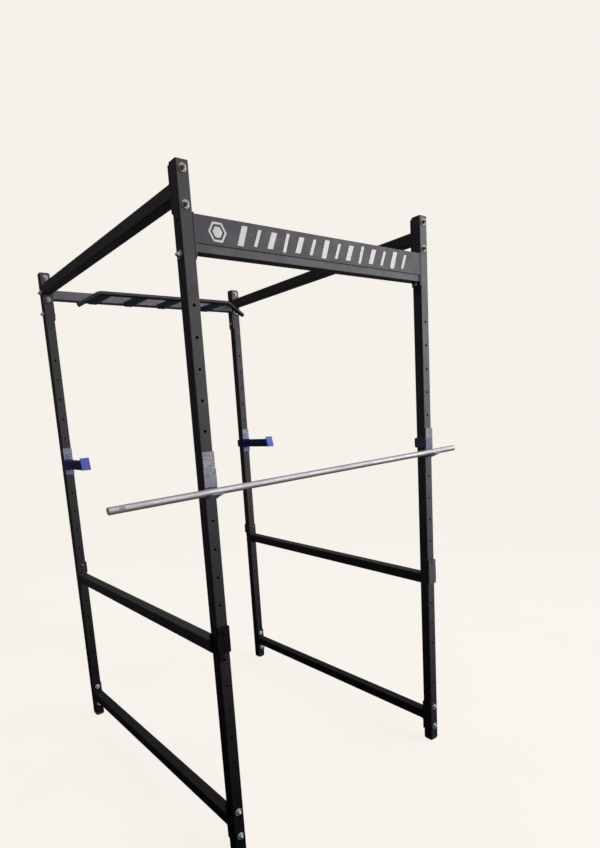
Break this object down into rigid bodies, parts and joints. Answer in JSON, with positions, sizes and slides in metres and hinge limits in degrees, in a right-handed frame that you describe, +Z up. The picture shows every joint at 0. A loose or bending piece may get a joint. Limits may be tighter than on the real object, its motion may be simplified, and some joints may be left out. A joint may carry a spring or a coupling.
{
  "type": "power rack",
  "caption": "Four-post training cage of bolted square tube with pull-up bar, safety bars, sign plate, hook cups and a loose steel bar.",
  "frame": {"origin": "centre of the bounding box at ground level", "axes": "+X along the width towards the cage's right as seen from the front, +Y towards the rear, +Z up; the front, with the loose bar and sign plate, faces -Y"},
  "size_m": [1.4506, 1.377, 2.1],
  "materials": {
    "upright_front_coat": "satin black powder coat",
    "upright_rear_coat": "satin black powder coat",
    "foot_rubber": "matte moulded",
    "top_beam_coat": "satin black powder coat",
    "bottom_beam_coat": "satin black powder coat",
    "front_crossmember_coat": "satin dark grey powder coat",
    "sign_coat": "satin grey coat",
    "rear_crossmember_coat": "satin dark grey coat",
    "pull_up_bar_coat": "satin dark coat, worn by hands",
    "pull_up_strut_coat": "satin blue-black coat",
    "safety_bar_coat": "satin black powder coat",
    "bracket_rough_coat": "rough brushed-on black paint",
    "bracket_grey_coat": "satin grey",
    "pin_zinc": "zinc plated",
    "cup_front_galvanised": "weathered galvanised",
    "cup_rear_galvanised": "weathered galvanised, blue cast",
    "cup_front_blue": "satin blue paint",
    "cup_rear_blue": "satin blue paint",
    "bar_steel": "weathered plain steel pipe",
    "bolt_zinc": "zinc plated"
  },
  "bodies": {
    "frame": {"Bottom_Bolt_Front_Left_Lower": "bolt_zinc", "Bottom_Bolt_Front_Left_Upper": "bolt_zinc", "Bottom_Bolt_Front_Right_Lower": "bolt_zinc", "Bottom_Bolt_Front_Right_Upper": "bolt_zinc", "Bottom_Bolt_Rear_Left_Lower": "bolt_zinc", "Bottom_Bolt_Rear_Left_Upper": "bolt_zinc", "Bottom_Bolt_Rear_Right_Lower": "bolt_zinc", "Bottom_Bolt_Rear_Right_Upper": "bolt_zinc", "Bottom_Side_Beam_Left": "bottom_beam_coat", "Bottom_Side_Beam_Right": "bottom_beam_coat", "Cross_Bolt_Front_Left": "bolt_zinc", "Cross_Bolt_Front_Right": "bolt_zinc", "Cross_Bolt_Rear_Left_Lower": "bolt_zinc", "Cross_Bolt_Rear_Left_Upper": "bolt_zinc", "Cross_Bolt_Rear_Right_Lower": "bolt_zinc", "Cross_Bolt_Rear_Right_Upper": "bolt_zinc", "Cup_Hook_Front_Left": "cup_front_blue", "Cup_Hook_Front_Right": "cup_front_blue", "Cup_Plate_Front_Left": "cup_front_galvanised", "Cup_Plate_Front_Right": "cup_front_galvanised", "Foot_Cap_Front_Left": "foot_rubber", "Foot_Cap_Front_Right": "foot_rubber", "Foot_Cap_Rear_Left": "foot_rubber", "Foot_Cap_Rear_Right": "foot_rubber", "Front_Crossmember": "front_crossmember_coat", "Pull_Up_Bar": "pull_up_bar_coat", "Pull_Up_Strut_1": "pull_up_strut_coat", "Pull_Up_Strut_2": "pull_up_strut_coat", "Pull_Up_Strut_3": "pull_up_strut_coat", "Pull_Up_Strut_4": "pull_up_strut_coat", "Rear_Crossmember": "rear_crossmember_coat", "Safety_Bar_Left": "safety_bar_coat", "Safety_Bar_Right": "safety_bar_coat", "Safety_Front_Bracket_Left": "bracket_rough_coat", "Safety_Front_Bracket_Right": "bracket_grey_coat", "Sign_Plate": "sign_coat", "Top_Bolt_Front_Left_Lower": "bolt_zinc", "Top_Bolt_Front_Left_Upper": "bolt_zinc", "Top_Bolt_Front_Right_Lower": "bolt_zinc", "Top_Bolt_Front_Right_Upper": "bolt_zinc", "Top_Bolt_Rear_Left_Lower": "bolt_zinc", "Top_Bolt_Rear_Left_Upper": "bolt_zinc", "Top_Bolt_Rear_Right_Lower": "bolt_zinc", "Top_Bolt_Rear_Right_Upper": "bolt_zinc", "Top_Side_Beam_Left": "top_beam_coat", "Top_Side_Beam_Right": "top_beam_coat", "Upright_Front_Left": "upright_front_coat", "Upright_Front_Right": "upright_front_coat", "Upright_Rear_Left": "upright_rear_coat", "Upright_Rear_Right": "upright_rear_coat"},
    "bar": {"Bar": "bar_steel"},
    "rear_cup_left": {"Cup_Plate_Rear_Left": "cup_rear_galvanised", "Cup_Hook_Rear_Left": "cup_rear_blue"},
    "safety_pin_front_left": {"Safety_Pin_Front_Left": "bracket_rough_coat"},
    "safety_pin_rear_left": {"Safety_Pin_Rear_Left": "pin_zinc"},
    "rear_cup_right": {"Cup_Plate_Rear_Right": "cup_rear_galvanised", "Cup_Hook_Rear_Right": "cup_rear_blue"},
    "safety_pin_front_right": {"Safety_Pin_Front_Right": "bracket_grey_coat"},
    "safety_pin_rear_right": {"Safety_Pin_Rear_Right": "pin_zinc"}
  },
  "joints": [
    {"name": "bar_lift", "type": "slide", "parent": "frame", "child": "bar", "axis": [0, 0, 1], "range_m": [0, 0.15]},
    {"name": "rear_cup_roll_left", "type": "hinge", "parent": "frame", "child": "rear_cup_left", "pos_m": [-0.405, 0.63495, 1.2962], "axis": [0, -1, 0], "range_deg": [0, 90]},
    {"name": "rear_cup_roll_right", "type": "hinge", "parent": "frame", "child": "rear_cup_right", "pos_m": [0.591, 0.63495, 1.3202], "axis": [0, 1, 0], "range_deg": [0, 90]},
    {"name": "safety_pin_pull_front_left", "type": "slide", "parent": "frame", "child": "safety_pin_front_left", "axis": [0, -1, 0], "range_m": [0, 0.03]},
    {"name": "safety_pin_pull_rear_left", "type": "slide", "parent": "frame", "child": "safety_pin_rear_left", "axis": [0, -1, 0], "range_m": [0, 0.03]},
    {"name": "safety_pin_pull_front_right", "type": "slide", "parent": "frame", "child": "safety_pin_front_right", "axis": [0, -1, 0], "range_m": [0, 0.03]},
    {"name": "safety_pin_pull_rear_right", "type": "slide", "parent": "frame", "child": "safety_pin_rear_right", "axis": [0, -1, 0], "range_m": [0, 0.03]}
  ]
}
